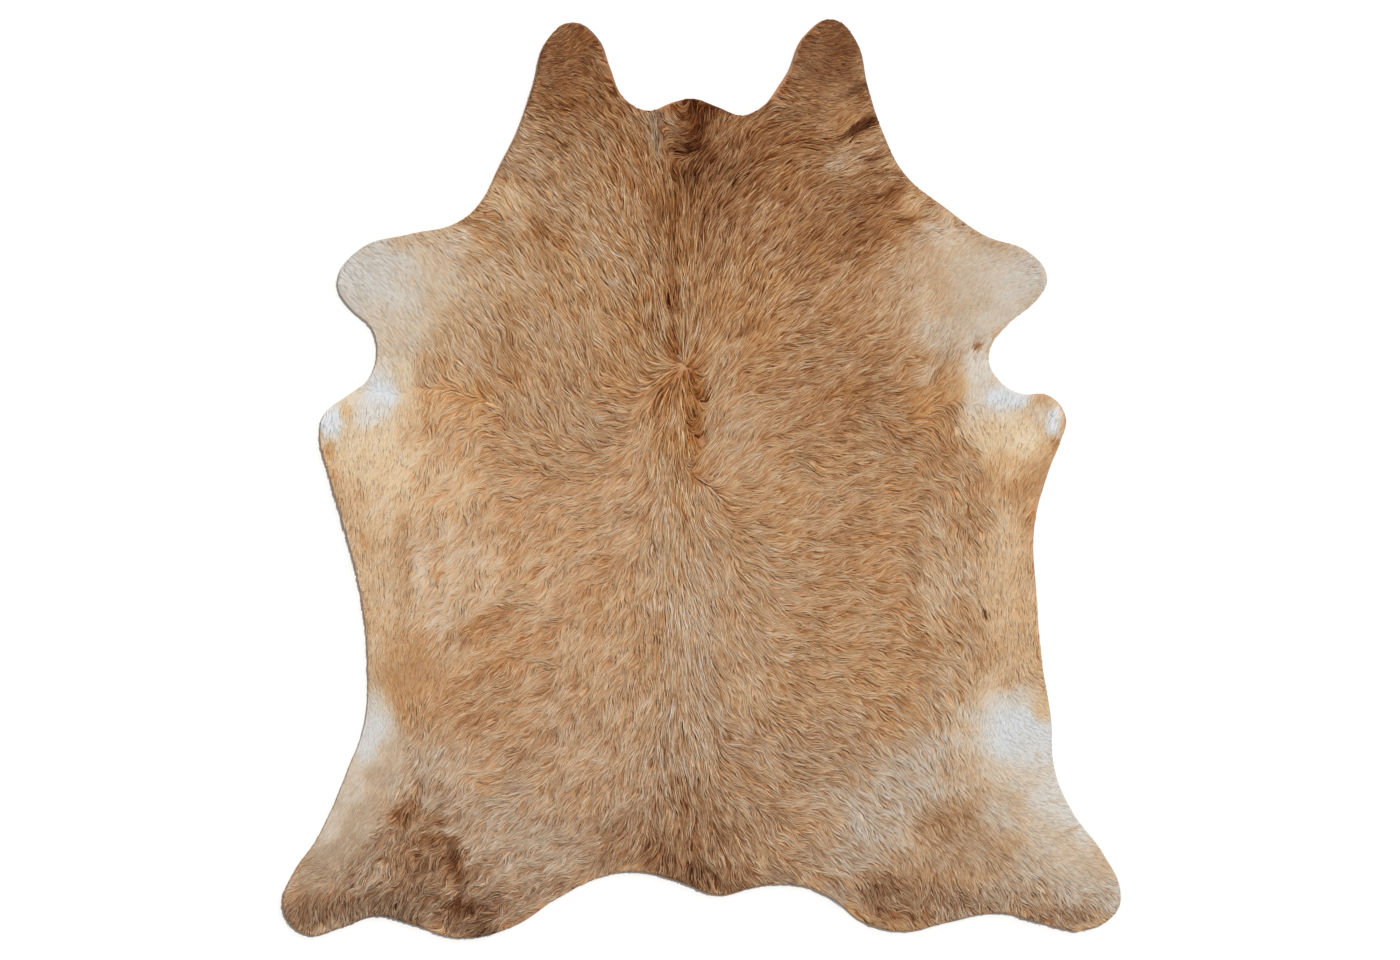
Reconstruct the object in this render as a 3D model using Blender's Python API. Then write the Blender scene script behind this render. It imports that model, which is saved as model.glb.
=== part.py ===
"""Cowhide rug: one whole hide lying flat, hair side up, as a single closed solid.

The hide is one piece, so there is one object. +Z is up, +Y is the neck end, X runs across the
hide. The underside is the flat flesh side on the floor; the top is the height the lying coat
reaches. The outline and the lie of the hide come from the named rows in the tables below.
"""
import math
import random

import bmesh
import bpy
import numpy as np
from mathutils import Vector, geometry

# Sizes of the whole hide, in metres
HIDE_WIDTH = 2.012
HIDE_LENGTH = 2.204
SKIN_THICK = 0.0024          # tanned skin with the shortest hair, at the cut edge
COAT_TOP = 0.0072            # skin and lying hair together on the trunk
EDGE_ROLL = 0.030            # how far in from the cut edge the coat takes to reach its height
RIM_STEP = 0.018             # spacing of the points round the edge
TOP_STEP = 0.036             # spacing of the points over the hair side
UNDER_STEP = 0.085           # spacing of the points over the flat flesh side
RING_DEPTHS = (0.007, 0.019)  # rows of points just inside the edge, for the roll of the coat
CURVE_STEPS = 24             # points along the curve from one outline row to the next
LUMP_SIZE = 0.16             # width of the gentle unevenness in the lying hide
LUMP_RISE = 0.0007
SEED = 11

# Outline of the hide, clockwise from the tip of the left neck flap, hair side seen from above.
# name, x, y
OUTLINE = (
    ("left neck flap, tip", -0.306, 1.094),
    ("left neck flap, outer shoulder of the tip", -0.364, 1.056),
    ("left neck flap, outer side", -0.402, 0.939),
    ("left neck flap, outer foot", -0.438, 0.836),
    ("left neck, side", -0.480, 0.752),
    ("left neck, bend to the foreleg", -0.526, 0.664),
    ("left foreleg, front root", -0.583, 0.614),
    ("left foreleg, front", -0.698, 0.586),
    ("left foreleg, front of the end", -0.816, 0.551),
    ("left foreleg, end", -0.870, 0.471),
    ("left foreleg, back of the end", -0.842, 0.412),
    ("left foreleg, back", -0.791, 0.365),
    ("left armpit, front", -0.775, 0.318),
    ("left armpit, back", -0.791, 0.246),
    ("left elbow, front", -0.851, 0.196),
    ("left elbow, top", -0.898, 0.160),
    ("left elbow, tip", -0.912, 0.102),
    ("left elbow, back", -0.890, 0.010),
    ("left flank, front", -0.856, -0.108),
    ("left flank, middle", -0.815, -0.270),
    ("left flank, waist", -0.797, -0.444),
    ("left flank, back", -0.805, -0.590),
    ("left hind leg, front root", -0.838, -0.684),
    ("left hind leg, front", -0.915, -0.858),
    ("left hind leg, front of the end", -0.976, -0.948),
    ("left hind leg, outer end", -1.001, -1.030),
    ("left hind leg, toe", -0.950, -1.093),
    ("left hind leg, back of the end", -0.860, -1.076),
    ("left hind leg, hollow behind", -0.778, -1.049),
    ("left hind leg, back", -0.694, -1.068),
    ("left thigh, back edge", -0.578, -1.101),
    ("left thigh, corner", -0.446, -1.072),
    ("left buttock", -0.330, -0.998),
    ("left buttock, hollow", -0.226, -0.951),
    ("left of the tail, hollow", -0.145, -0.943),
    ("left of the tail", -0.052, -0.966),
    ("tail stump", 0.046, -0.999),
    ("right of the tail", 0.128, -0.980),
    ("right of the tail, hollow", 0.210, -0.972),
    ("right buttock", 0.312, -1.002),
    ("right thigh, corner", 0.393, -1.064),
    ("right thigh, back edge", 0.492, -1.086),
    ("right hind leg, back root", 0.590, -1.064),
    ("right hind leg, hollow behind", 0.722, -1.042),
    ("right hind leg, back", 0.818, -1.066),
    ("right hind leg, back of the end", 0.918, -1.083),
    ("right hind leg, toe", 0.998, -1.040),
    ("right hind leg, outer end", 1.008, -0.992),
    ("right hind leg, front of the end", 0.965, -0.898),
    ("right hind leg, front", 0.891, -0.796),
    ("right hind leg, front root", 0.849, -0.694),
    ("right flank, back", 0.842, -0.580),
    ("right flank, waist", 0.820, -0.444),
    ("right flank, middle", 0.806, -0.276),
    ("right flank, front", 0.801, -0.116),
    ("right elbow, back", 0.834, 0.014),
    ("right elbow, side", 0.866, 0.096),
    ("right elbow, tip", 0.877, 0.144),
    ("right elbow, top", 0.836, 0.199),
    ("right elbow, front", 0.768, 0.204),
    ("right armpit, back", 0.712, 0.240),
    ("right armpit, front", 0.692, 0.300),
    ("right foreleg, back", 0.742, 0.374),
    ("right foreleg, back of the end", 0.812, 0.434),
    ("right foreleg, end", 0.832, 0.482),
    ("right foreleg, front of the end", 0.792, 0.540),
    ("right foreleg, front", 0.680, 0.584),
    ("right foreleg, front root", 0.592, 0.646),
    ("right neck, side", 0.490, 0.730),
    ("right neck flap, outer foot", 0.437, 0.832),
    ("right neck flap, outer side", 0.402, 0.938),
    ("right neck flap, outer shoulder of the tip", 0.372, 1.052),
    ("right neck flap, tip", 0.316, 1.101),
    ("right neck flap, inner shoulder of the tip", 0.254, 1.067),
    ("right neck flap, inner side", 0.204, 0.964),
    ("right of the poll, hollow", 0.112, 0.872),
    ("right of the poll", 0.036, 0.893),
    ("poll", -0.016, 0.911),
    ("left of the poll", -0.066, 0.902),
    ("left of the poll, hollow", -0.126, 0.882),
    ("left neck flap, inner foot", -0.185, 0.914),
    ("left neck flap, inner side", -0.216, 0.984),
    ("left neck flap, inner shoulder of the tip", -0.246, 1.056),
)

# Places where the coat stands taller or lies thinner than on the trunk.
# name, x, y, half length along, half length across, turn in degrees, rise
COAT_PLACES = (
    ("curly poll", -0.008, 0.812, 0.085, 0.055, 90.0, 0.0034),
    ("spine, neck part", -0.040, 0.480, 0.300, 0.050, 92.0, 0.0012),
    ("whorl hollow", -0.042, 0.280, 0.026, 0.026, 0.0, -0.0018),
    ("spine, back part", -0.030, -0.300, 0.430, 0.040, 90.0, 0.0008),
    ("tail root", -0.010, -0.880, 0.090, 0.080, 90.0, 0.0016),
    ("left neck flap", -0.320, 0.960, 0.160, 0.080, 100.0, -0.0008),
    ("right neck flap", 0.310, 0.960, 0.160, 0.080, 80.0, -0.0008),
    ("left shoulder", -0.330, 0.420, 0.230, 0.140, 55.0, 0.0010),
    ("right shoulder", 0.330, 0.420, 0.230, 0.140, -55.0, 0.0010),
    ("left foreleg", -0.760, 0.480, 0.190, 0.120, 20.0, -0.0030),
    ("right foreleg", 0.700, 0.470, 0.190, 0.120, -25.0, -0.0030),
    ("left armpit", -0.790, 0.220, 0.120, 0.090, 10.0, -0.0030),
    ("right armpit", 0.740, 0.230, 0.130, 0.080, 0.0, -0.0030),
    ("left groin", -0.800, -0.620, 0.120, 0.075, 80.0, -0.0034),
    ("right groin", 0.770, -0.610, 0.110, 0.100, 80.0, -0.0034),
    ("left hind shank", -0.860, -0.840, 0.150, 0.070, 60.0, -0.0022),
    ("right hind shank", 0.880, -0.860, 0.150, 0.090, -60.0, -0.0026),
    ("left thigh tuft", -0.600, -0.920, 0.200, 0.110, -55.0, 0.0020),
    ("right thigh tuft", 0.520, -0.960, 0.200, 0.100, 30.0, 0.0014),
    ("left flank locks", -0.420, -0.380, 0.300, 0.200, 80.0, 0.0010),
    ("right flank locks", 0.320, -0.200, 0.330, 0.200, 80.0, 0.0012),
)

# Soft folds left in the skin where the leg was opened out.
# name, x and y of one end, x and y of the other end, half width, rise
FOLDS = (
    ("right shank, upper fold", 0.810, -0.770, 0.905, -0.792, 0.010, 0.0022),
    ("right shank, lower fold", 0.835, -0.868, 0.925, -0.838, 0.010, 0.0026),
    ("right elbow fold", 0.838, 0.060, 0.862, 0.150, 0.012, 0.0016),
    ("right neck fold", 0.435, 0.618, 0.535, 0.622, 0.012, -0.0016),
    ("left flank, long wave", -0.600, -0.050, -0.690, -0.420, 0.060, 0.0012),
    ("right flank, long wave", 0.620, -0.020, 0.640, -0.380, 0.060, 0.0012),
)

# Skin and hair as one plain material for the solid
HIDE_COLOUR = (0.42, 0.24, 0.12, 1.0)
HIDE_ROUGH = 0.78


def clear_scene():
    for item in list(bpy.data.objects):
        bpy.data.objects.remove(item, do_unlink=True)


def outline_curve():
    """Smooth closed curve through the outline rows, as points close together."""
    data = bpy.data.curves.new("hide_outline", "CURVE")
    data.dimensions = "2D"
    spline = data.splines.new("BEZIER")
    spline.bezier_points.add(len(OUTLINE) - 1)
    for point, (_name, x, y) in zip(spline.bezier_points, OUTLINE):
        point.co = (x, y, 0.0)
        point.handle_left_type = "AUTO"
        point.handle_right_type = "AUTO"
    spline.use_cyclic_u = True
    spline.resolution_u = CURVE_STEPS
    data.resolution_u = CURVE_STEPS
    data.render_resolution_u = CURVE_STEPS
    data.fill_mode = "NONE"
    holder = bpy.data.objects.new("hide_outline", data)
    bpy.context.scene.collection.objects.link(holder)
    bpy.context.view_layer.update()
    mesh = holder.to_mesh()
    points = np.array([vert.co[:2] for vert in mesh.vertices])
    holder.to_mesh_clear()
    bpy.data.objects.remove(holder, do_unlink=True)
    bpy.data.curves.remove(data)
    return points


def even_points(points, step):
    """The same closed line with its points an even step apart."""
    loop = np.vstack([points, points[:1]])
    runs = np.hypot(*np.diff(loop, axis=0).T)
    along = np.concatenate([[0.0], np.cumsum(runs)])
    count = int(round(along[-1] / step))
    stops = np.arange(count) * along[-1] / count
    return np.column_stack([np.interp(stops, along, loop[:, axis]) for axis in (0, 1)])


def fit_to_size(points):
    """Scale the outline to the driving width and length, centred on the origin."""
    low, high = points.min(axis=0), points.max(axis=0)
    size = np.array([HIDE_WIDTH, HIDE_LENGTH])
    return (points - (low + high) / 2.0) * size / (high - low)


def inward(points):
    """Unit directions pointing into the hide at each point of its edge."""
    ahead = np.roll(points, -1, axis=0) - np.roll(points, 1, axis=0)
    ahead /= np.hypot(*ahead.T)[:, None]
    side = np.column_stack([ahead[:, 1], -ahead[:, 0]])
    area = np.sum(points[:, 0] * np.roll(points[:, 1], -1) - np.roll(points[:, 0], -1) * points[:, 1])
    return side if area < 0.0 else -side


def inside(points, edge):
    """True for each point that lies inside the closed edge."""
    a, b = edge, np.roll(edge, -1, axis=0)
    px, py = points[:, :1], points[:, 1:]
    crosses = (a[:, 1] > py) != (b[:, 1] > py)
    rise = np.where(b[:, 1] == a[:, 1], 1.0, b[:, 1] - a[:, 1])
    at = a[:, 0] + (py - a[:, 1]) * (b[:, 0] - a[:, 0]) / rise
    return np.sum(crosses & (px < at), axis=1) % 2 == 1


def edge_distance(points, edge):
    """Distance of each point from the nearest part of the closed edge."""
    a, b = edge, np.roll(edge, -1, axis=0)
    run = b - a
    offset = points[:, None, :] - a[None, :, :]
    share = np.clip(np.sum(offset * run, axis=2) / np.sum(run * run, axis=1), 0.0, 1.0)
    nearest = a[None, :, :] + share[:, :, None] * run[None, :, :]
    return np.min(np.hypot(*(points[:, None, :] - nearest).transpose(2, 0, 1)), axis=1)


def lattice(edge, step, clear):
    """Points in offset rows over the hide, kept clear of its edge."""
    low, high = edge.min(axis=0), edge.max(axis=0)
    rows = []
    for row, y in enumerate(np.arange(low[1], high[1], step * math.sqrt(3.0) / 2.0)):
        shift = step / 2.0 if row % 2 else 0.0
        rows += [(x, y) for x in np.arange(low[0] + shift, high[0], step)]
    points = np.array(rows)
    points = points[inside(points, edge)]
    return points[edge_distance(points, edge) > clear]


def lumps(points):
    """Gentle unevenness of a hide that has been rolled up and laid out again."""
    rng = random.Random(SEED)
    total = np.zeros(len(points))
    for _wave in range(9):
        turn = rng.uniform(0.0, math.pi)
        size = LUMP_SIZE * rng.uniform(0.7, 1.6)
        start = rng.uniform(0.0, 2.0 * math.pi)
        along = points[:, 0] * math.cos(turn) + points[:, 1] * math.sin(turn)
        total += np.sin(along * 2.0 * math.pi / size + start) / 3.0
    return total * LUMP_RISE


def places(points):
    """Rise of the coat from the named places."""
    total = np.zeros(len(points))
    for _name, x, y, length, across, turn, rise in COAT_PLACES:
        c, s = math.cos(math.radians(turn)), math.sin(math.radians(turn))
        dx, dy = points[:, 0] - x, points[:, 1] - y
        u, v = (dx * c + dy * s) / length, (dy * c - dx * s) / across
        total += rise * np.exp(-(u * u + v * v))
    return total


def folds(points):
    """Rise of the skin along the named folds."""
    total = np.zeros(len(points))
    for _name, x0, y0, x1, y1, half, rise in FOLDS:
        run = np.array([x1 - x0, y1 - y0])
        share = np.clip((points - (x0, y0)) @ run / (run @ run), 0.0, 1.0)
        away = np.hypot(*(points - (x0, y0) - share[:, None] * run).T)
        total += rise * np.exp(-((away / half) ** 2)) * np.sin(math.pi * (0.1 + 0.8 * share))
    return total


def coat_height(points, edge):
    """Height of the lying coat over the floor at each point."""
    share = np.clip(edge_distance(points, edge) / EDGE_ROLL, 0.0, 1.0)
    roll = np.sin(share * math.pi / 2.0)
    full = COAT_TOP + places(points) + folds(points) + lumps(points)
    return SKIN_THICK + (np.maximum(full, SKIN_THICK + 0.0009) - SKIN_THICK) * roll


def flat_faces(edge, inner):
    """Triangles over a flat region: its edge points and the points inside it."""
    points = np.vstack([edge, inner])
    count = len(edge)
    border = [(index, (index + 1) % count) for index in range(count)]
    result = geometry.delaunay_2d_cdt([Vector(point) for point in points], border, [], 1, 1e-7)
    coords, faces = result[0], result[2]
    return np.array([co[:2] for co in coords]), [tuple(face) for face in faces]


def add_sheet(mesh, points, heights, faces, face_up):
    """Put one side of the hide into the mesh."""
    verts = [mesh.verts.new((x, y, z)) for (x, y), z in zip(points, heights)]
    for face in faces:
        corners = [verts[index] for index in face]
        normal = geometry.normal([corner.co for corner in corners])
        mesh.faces.new(corners if (normal.z > 0.0) == face_up else corners[::-1])
    return verts


def hide_mesh():
    edge = fit_to_size(even_points(outline_curve(), RIM_STEP))
    into = inward(edge)
    rings = [edge + into * depth for depth in RING_DEPTHS]
    top_inner = np.vstack(rings + [lattice(edge, TOP_STEP, RING_DEPTHS[-1] + TOP_STEP * 0.45)])
    under_inner = lattice(edge, UNDER_STEP, UNDER_STEP * 0.4)
    mesh = bmesh.new()
    top_points, top_faces = flat_faces(edge, top_inner)
    add_sheet(mesh, top_points, coat_height(top_points, edge), top_faces, True)
    under_points, under_faces = flat_faces(edge, under_inner)
    add_sheet(mesh, under_points, np.zeros(len(under_points)), under_faces, False)
    rims = [side for side in mesh.edges if side.is_boundary]
    bmesh.ops.bridge_loops(mesh, edges=rims)
    bmesh.ops.triangulate(mesh, faces=[face for face in mesh.faces if len(face.verts) > 3])
    bmesh.ops.recalc_face_normals(mesh, faces=mesh.faces)
    return mesh


def hide_material():
    material = bpy.data.materials.new("hide")
    material.use_nodes = True
    shader = material.node_tree.nodes["Principled BSDF"]
    shader.inputs["Base Color"].default_value = HIDE_COLOUR
    shader.inputs["Roughness"].default_value = HIDE_ROUGH
    material.diffuse_color = HIDE_COLOUR
    return material


def build():
    clear_scene()
    group = bpy.data.collections.new("cowhide_rug")
    bpy.context.scene.collection.children.link(group)
    data = bpy.data.meshes.new("hide")
    mesh = hide_mesh()
    mesh.to_mesh(data)
    mesh.free()
    data.materials.append(hide_material())
    data.shade_smooth()
    hide = bpy.data.objects.new("hide", data)
    group.objects.link(hide)


build()
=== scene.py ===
"""Cowhide rug: the skin, its coat of lying hair, a pale floor, soft light and a view from above."""
import math

import bmesh
import bpy
import numpy as np
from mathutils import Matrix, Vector
from mathutils.bvhtree import BVHTree
from mathutils.kdtree import KDTree


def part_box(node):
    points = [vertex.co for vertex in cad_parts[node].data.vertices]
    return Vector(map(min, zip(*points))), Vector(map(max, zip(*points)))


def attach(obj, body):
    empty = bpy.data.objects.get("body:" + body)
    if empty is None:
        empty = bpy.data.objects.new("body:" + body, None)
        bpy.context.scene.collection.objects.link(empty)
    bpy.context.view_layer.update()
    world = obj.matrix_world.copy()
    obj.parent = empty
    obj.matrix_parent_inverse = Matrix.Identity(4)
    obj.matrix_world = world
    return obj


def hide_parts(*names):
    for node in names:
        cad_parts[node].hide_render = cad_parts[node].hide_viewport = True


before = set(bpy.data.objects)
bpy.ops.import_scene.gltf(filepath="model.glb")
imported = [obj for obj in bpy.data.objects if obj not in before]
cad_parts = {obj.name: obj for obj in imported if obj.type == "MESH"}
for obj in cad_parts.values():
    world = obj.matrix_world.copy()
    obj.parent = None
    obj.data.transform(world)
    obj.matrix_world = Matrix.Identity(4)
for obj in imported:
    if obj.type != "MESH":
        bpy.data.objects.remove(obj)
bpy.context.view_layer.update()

# Sizes in metres. X runs across the hide, +Y to the neck, +Z up from the floor.
HIDE_LOW, HIDE_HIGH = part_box("hide")
HIDE_WIDTH = HIDE_HIGH[0] - HIDE_LOW[0]
HIDE_LENGTH = HIDE_HIGH[1] - HIDE_LOW[1]
HIDE_AREA = 3.125  # square metres
SKIN_THICK = 0.0022
UNDER_FUR = 0.64  # share of the coat's height that close under-fur fills
EDGE_FUR = 0.0068  # least height of the under-fur
EDGE_COAT = 0.0042  # least depth of the hair over the under-fur
COAT_CLEAR = 0.0004  # gap between the under-fur and the hair
EDGE_OVERHANG = 0.0006  # how far hair reaches past the cut edge
ROOT_INSET = 0.0006  # how far roots keep inside the cut edge
UNDERSIDE_TOP = 0.0012  # the flesh side ends at this height

# Maps of the hide's height and of the distance from its cut edge.
MAP_STEP = 0.004
MAP_MARGIN = 0.05
RAY_START, RAY_REACH = 0.1, 0.2
RIM_PARTS = 6
FLAT_UNDERSIDE, FLESH_SIDE = -0.9, -0.5  # upward share of a face's normal, at most

# What the tables' numbers are divided by, column by column.
MM, TENTH_MM, PERCENT, WHOLE = 1000.0, 10000.0, 100.0, 1.0
LIE_UNITS = (MM, MM, WHOLE)
GROWTH_UNITS = (MM, MM, MM, MM, MM, WHOLE, TENTH_MM, PERCENT, WHOLE)
MARKING_UNITS = (MM, MM, MM, MM, PERCENT, PERCENT, PERCENT, WHOLE)

# Which way the hair lies, root to tip, in degrees: 0 to the right, 90 to the neck.
# part of the hide, then its places: place, x, y, heading
HAIR_LIE = (
    ("left neck flap", ("tip", -300, 1052, 222), ("middle", -341, 1000, 198), ("inner side", -248, 1000, 134),
     ("foot", -290, 900, 150), ("outer side", -389, 930, 164)),
    ("left of the poll", ("middle", -165, 860, 117)),
    ("poll", ("middle", -18, 862, 84), ("left edge", -84, 885, 292), ("left arcs", -68, 850, 322),
     ("inner arcs", -46, 838, 8), ("lower arcs", -52, 806, -8), ("right of the middle", 10, 840, 88),
     ("curl, left", -50, 776, -24), ("curl, right", 12, 782, 52)),
    ("neck", ("under the curl, left", -52, 742, 106), ("under the curl, right", -4, 742, 76)),
    ("left of the parting", ("upper", -120, 866, 112), ("middle", -114, 820, 114), ("lower", -100, 772, 118)),
    ("left neck", ("upper", -389, 812, 150), ("middle", -260, 764, 128), ("near the spine", -130, 700, 110),
     ("side", -485, 716, 135), ("fold", -560, 620, 158), ("lower", -341, 640, 136),
     ("lower by the spine", -149, 560, 117), ("low middle", -197, 550, 127)),
    ("left foreleg", ("front", -740, 560, 145), ("middle", -677, 500, 122), ("end", -845, 460, 140),
     ("root", -533, 550, 147), ("back", -725, 380, 131), ("root at the back", -600, 345, 133)),
    ("left shoulder", ("front", -389, 500, 124), ("middle", -485, 430, 131), ("back", -345, 380, 111),
     ("near the spine", -215, 428, 122)),
    ("left armpit", ("front", -773, 284, 120), ("inner", -677, 250, 98), ("back", -760, 170, 258),
     ("over the white patch", -740, 236, 98), ("under the white patch", -677, 185, 261)),
    ("left elbow", ("middle", -869, 100, 269), ("root", -677, 140, 250)),
    ("left ribs", ("front", -545, 260, 132), ("steep band", -355, 240, 109),
     ("below the band", -400, 92, 150), ("by the whorl", -170, 270, 132), ("level", -220, 160, 183),
     ("outer", -581, 140, 220), ("lower", -485, 30, 196), ("level lower", -270, 20, 194),
     ("band, front", -437, 335, 111), ("band, back", -410, 180, 112), ("band, end", -350, 135, 112),
     ("inner band", -293, 245, 115), ("inner band, end", -290, 135, 128),
     ("by the whorl, front", -210, 325, 119), ("turn to the flank", -575, 45, 240)),
    ("left of the spine", ("below the whorl", -101, 140, 246)),
    ("left flank", ("front edge", -869, -20, 271), ("front", -700, -20, 252), ("inner", -581, -60, 243),
     ("edge", -821, -200, 266), ("middle", -650, -180, 230), ("outer band", -533, -170, 244),
     ("low edge", -790, -380, 256), ("low", -629, -340, 237)),
    ("left loin", ("front", -389, -52, 205), ("by the spine", -149, -60, 238), ("middle", -389, -180, 227),
     ("inner", -245, -180, 214), ("swirl", -450, -345, 197), ("below the swirl", -400, -430, 204),
     ("by the red stripe", -197, -70, 207)),
    ("left rump", ("by the spine", -215, -340, 254), ("middle", -293, -580, 240), ("inner", -149, -600, 257),
     ("back", -310, -780, 237), ("front", -293, -436, 243)),
    ("left groin", ("edge", -780, -500, 286), ("inner", -690, -500, 238), ("white patch", -800, -640, 256),
     ("inner edge", -725, -510, 290)),
    ("left thigh", ("front", -580, -520, 220), ("middle", -437, -600, 214), ("outer", -680, -730, 241),
     ("back part", -485, -760, 212), ("dark part", -660, -900, 237), ("edge", -460, -900, 214),
     ("back edge", -700, -1040, 232), ("corner", -480, -1050, 205)),
    ("left shank", ("front", -821, -730, 233), ("end", -960, -930, 205), ("middle", -830, -900, 240)),
    ("left of the tail", ("middle", -149, -830, 258)),
    ("left buttock", ("middle", -300, -930, 212), ("inner", -197, -895, 226)),
    ("left hind toe", ("middle", -917, -1050, 246)),
    ("spine", ("neck end", -46, 700, 92), ("neck", -46, 560, 91), ("shoulder", -46, 420, 90),
     ("above the whorl", -46, 320, 90), ("below the whorl", -50, 235, 268), ("ribs", -48, 80, 268),
     ("loin", -46, -150, 270), ("rump", -40, -420, 271), ("back", -30, -700, 280),
     ("right side of the ribs, front", 4, 215, 76), ("right side of the ribs, middle", 2, 120, 73),
     ("right side of the ribs, back", 4, 40, 70), ("right edge of the stripe, front", -30, 175, 284),
     ("right edge of the stripe, back", -30, 80, 274), ("stripe, low end", -34, -20, 272),
     ("right side of the loin", -6, -75, 280), ("left side of the shoulder", -100, 420, 104),
     ("left side by the whorl", -106, 350, 107)),
    ("tail", ("middle", -5, -900, 281)),
    ("right neck flap", ("tip", 300, 1052, 3), ("middle", 300, 970, -7), ("foot", 230, 900, -15),
     ("stripes", 400, 870, 24)),
    ("right of the poll", ("middle", 80, 850, 54)),
    ("right neck", ("upper", 187, 790, 32), ("upper middle", 300, 820, 0), ("by the spine", 55, 700, 62),
     ("middle", 200, 680, 50), ("outer", 400, 720, 14), ("side", 500, 650, 22), ("lower", 250, 580, 46),
     ("lower by the spine", 60, 500, 71), ("flap root", 331, 812, 21), ("by the spine, upper", 95, 716, 48),
     ("by the spine, lower", 95, 524, 60)),
    ("right shoulder", ("front", 400, 560, 33), ("middle", 330, 450, 39), ("back", 500, 360, 46),
     ("by the spine", 110, 400, 60)),
    ("right foreleg", ("root", 540, 500, 56), ("front", 680, 540, 36), ("end", 800, 480, 20),
     ("back", 690, 400, 50)),
    ("right ribs", ("front", 235, 370, 27), ("level", 300, 310, 13), ("by the spine", 45, 280, 70),
     ("inner", 150, 260, 22), ("outer", 450, 250, 22), ("middle", 280, 160, 14), ("dip", 430, 130, -26),
     ("lower", 280, 70, -12), ("front level", 235, 332, 14), ("rising", 283, 190, 30),
     ("low rise", 165, -5, 25)),
    ("right armpit", ("front", 650, 290, 68), ("inner", 571, 230, 60), ("cream strands", 630, 150, 284),
     ("white patch", 730, 190, 250), ("over the cream strands", 650, 215, 78)),
    ("right elbow", ("middle", 811, 110, 245), ("root", 740, 40, 250), ("lower edge", 811, 44, 227)),
    ("right of the spine", ("ribs", 43, 110, 58), ("turn", 50, 30, 48), ("loin", 43, -110, -46),
     ("low loin", 43, -210, -73)),
    ("right flank", ("streaks", 630, 50, -44), ("front edge", 790, -60, 240), ("front", 640, -100, -68),
     ("inner band", 560, -230, -60), ("edge", 763, -220, 256), ("low band", 600, -360, -66),
     ("low edge", 780, -370, 266)),
    ("right loin", ("rising", 290, -70, 18), ("level", 450, -60, 4), ("middle", 310, -200, 13),
     ("inner", 120, -185, -26), ("outer", 440, -220, 3), ("low", 360, -340, 2),
     ("rise by the spine", 180, -80, 14), ("fan, front", 100, -100, -14), ("fan, middle", 190, -175, 0),
     ("fan, back", 235, -260, 6), ("fan, low", 235, -350, -3)),
    ("right rump", ("by the spine", 60, -350, -72), ("inner", 130, -330, -42), ("middle", 300, -440, -24),
     ("inner back", 110, -520, -58), ("level", 270, -640, -12), ("back", 240, -780, -28),
     ("fan", 187, -320, -24), ("spread, front", 139, -600, -37), ("spread, middle", 120, -690, -32),
     ("spread, back", 120, -765, -40)),
    ("right thigh", ("front", 480, -460, -6), ("band", 580, -510, -46), ("middle", 450, -640, -36),
     ("outer", 620, -700, -73), ("back part", 420, -790, -46), ("brown part", 600, -850, -48),
     ("corner", 430, -1000, -44)),
    ("right groin", ("edge", 800, -530, -32), ("inner", 650, -580, -84), ("white patch", 800, -640, -26),
     ("over the white patch", 690, -530, 238)),
    ("right shank", ("front", 850, -760, -12), ("middle", 890, -870, -14)),
    ("right of the tail", ("middle", 60, -820, -66)),
    ("right buttock", ("middle", 240, -930, -33)),
    ("right hind leg", ("back root", 580, -1000, -73), ("middle", 760, -930, -50), ("back", 800, -1020, -55)),
    ("right hind toe", ("middle", 940, -1000, -28)),
    ("whorl", ("upper left", -74, 304, 125), ("left", -82, 270, 178), ("lower left", -70, 243, 232),
     ("upper right", -20, 306, 62), ("right", -12, 280, 42), ("lower right", -26, 238, 296)),
)

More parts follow.
